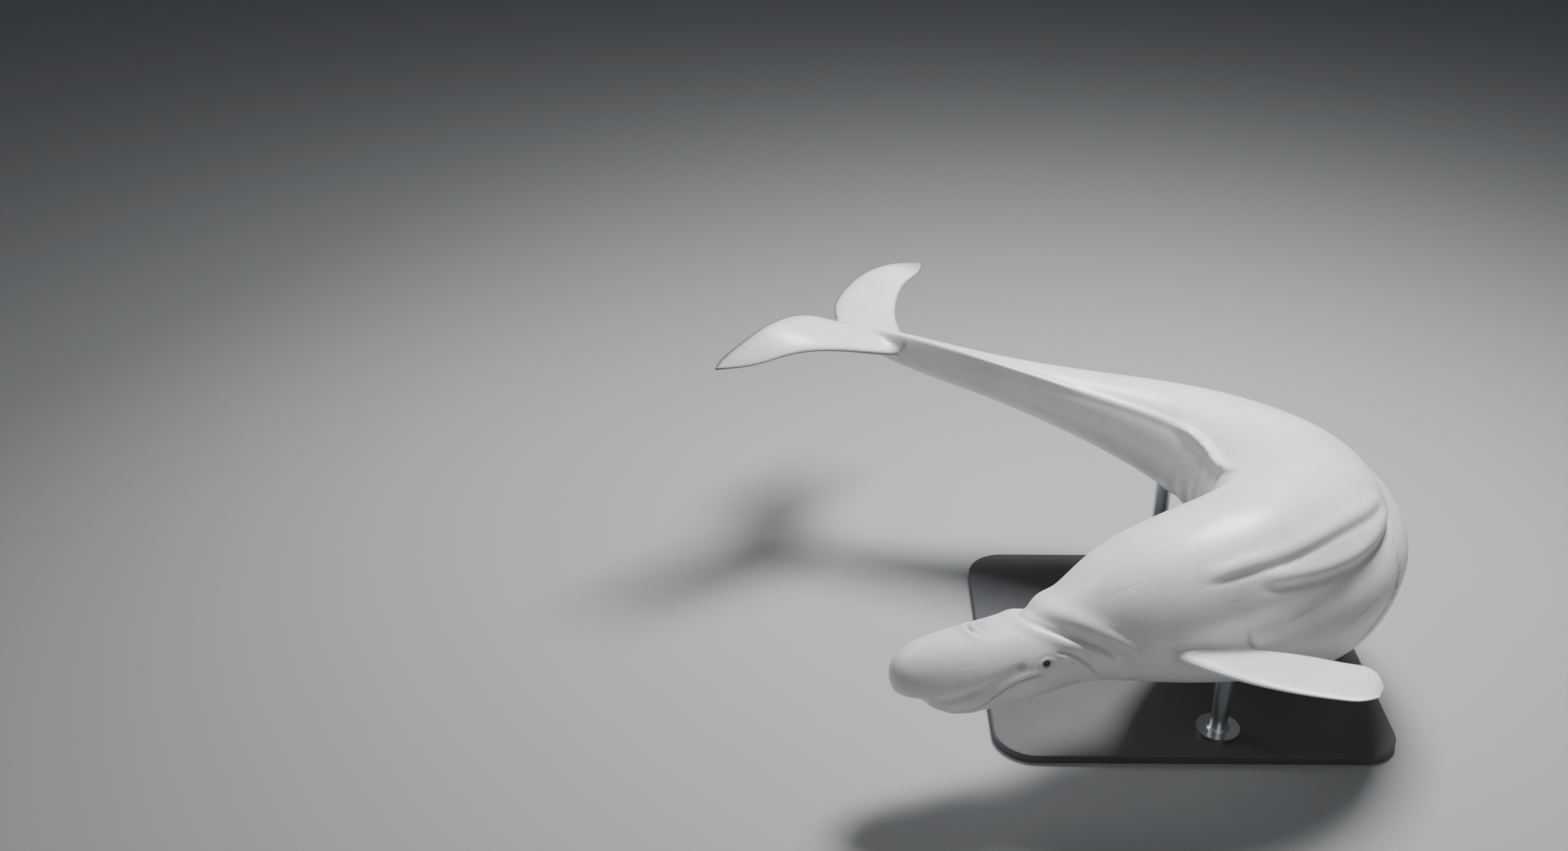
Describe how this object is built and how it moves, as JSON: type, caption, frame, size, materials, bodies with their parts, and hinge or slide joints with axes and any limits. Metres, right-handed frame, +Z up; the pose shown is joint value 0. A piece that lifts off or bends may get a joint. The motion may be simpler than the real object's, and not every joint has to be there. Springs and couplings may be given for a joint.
{
  "type": "beluga whale model on a display stand",
  "caption": "White beluga whale bent to its right as it swims, with rounded melon, short beak, paddle flippers and raised flukes, held by short rods on a flat base",
  "frame": {"origin": "centre of the model's box on the floor, at the level of the underside of the stand's base", "axes": "+Z is up. The whale's head points towards -X on the -Y side, its body bends round the +X side and its tail points towards -X on the +Y side"},
  "size_m": [2.497, 2.6068, 1.1021],
  "materials": {
    "skin": "smooth white whale skin, softly glossy, with faint mottling and scratches",
    "eye": "dark wet eye",
    "stand_base": "satin dark grey paint",
    "stand_rod": "brushed steel"
  },
  "bodies": {
    "root": {"head": "skin", "lower_jaw": "skin", "neck": "skin", "chest": "skin", "belly": "skin", "hips": "skin", "tail_stock": "skin", "flipper_left": "skin", "flipper_right": "skin", "fluke_left": "skin", "fluke_right": "skin", "eye_left": "eye", "eye_right": "eye", "stand_base": "stand_base", "stand_rod_front": "stand_rod", "stand_rod_rear": "stand_rod"}
  },
  "joints": []
}
